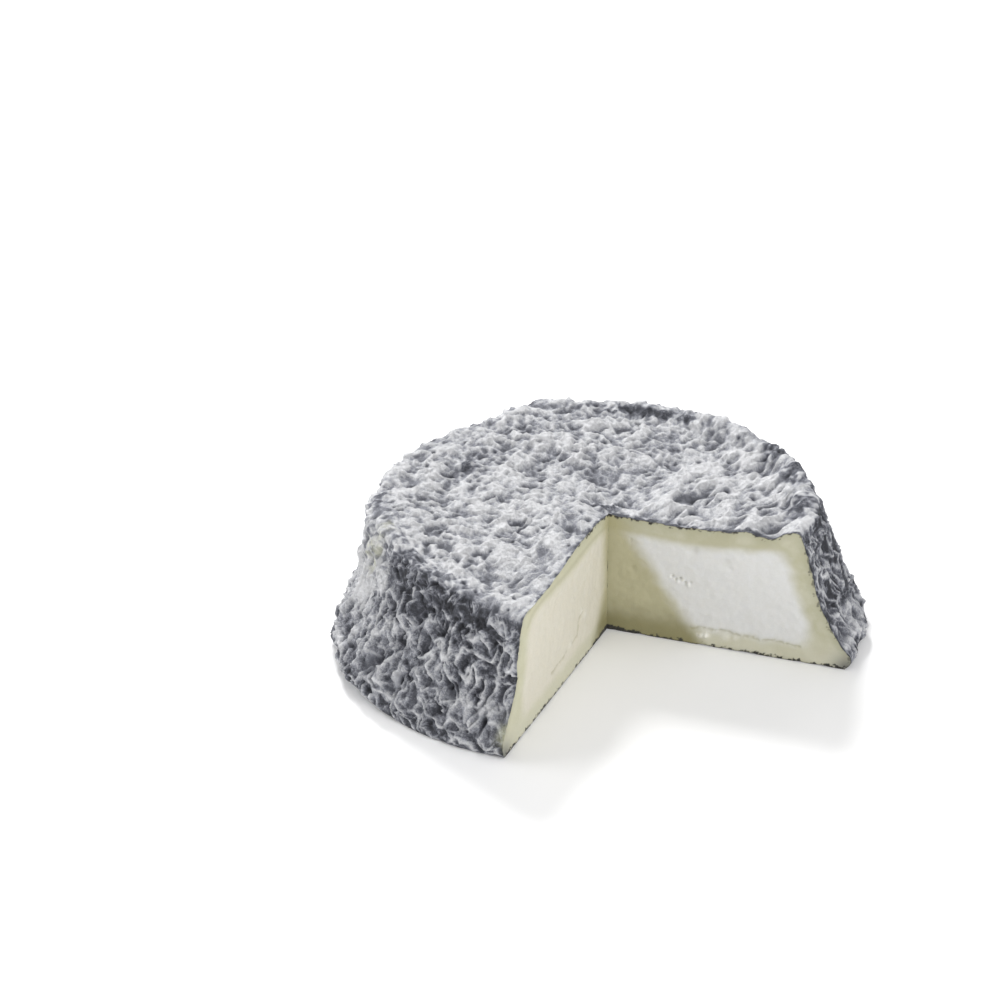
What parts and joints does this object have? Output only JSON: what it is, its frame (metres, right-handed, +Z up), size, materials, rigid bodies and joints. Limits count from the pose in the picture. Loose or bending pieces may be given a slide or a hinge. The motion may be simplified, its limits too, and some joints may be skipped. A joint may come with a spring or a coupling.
{
  "type": "selles-sur-cher cheese",
  "caption": "Small round ash-coated goat's cheese with leaning side, wrinkled grey rind and a wedge cut out that shows its pale inside.",
  "frame": {"origin": "on the board, under the middle of the box round the cheese", "axes": "+Z up through the cheese; the missing wedge opens towards +X and -Y"},
  "size_m": [0.093, 0.095, 0.027],
  "materials": {
    "cheese": "matte"
  },
  "bodies": {
    "root": {"cheese": "cheese"}
  },
  "joints": []
}
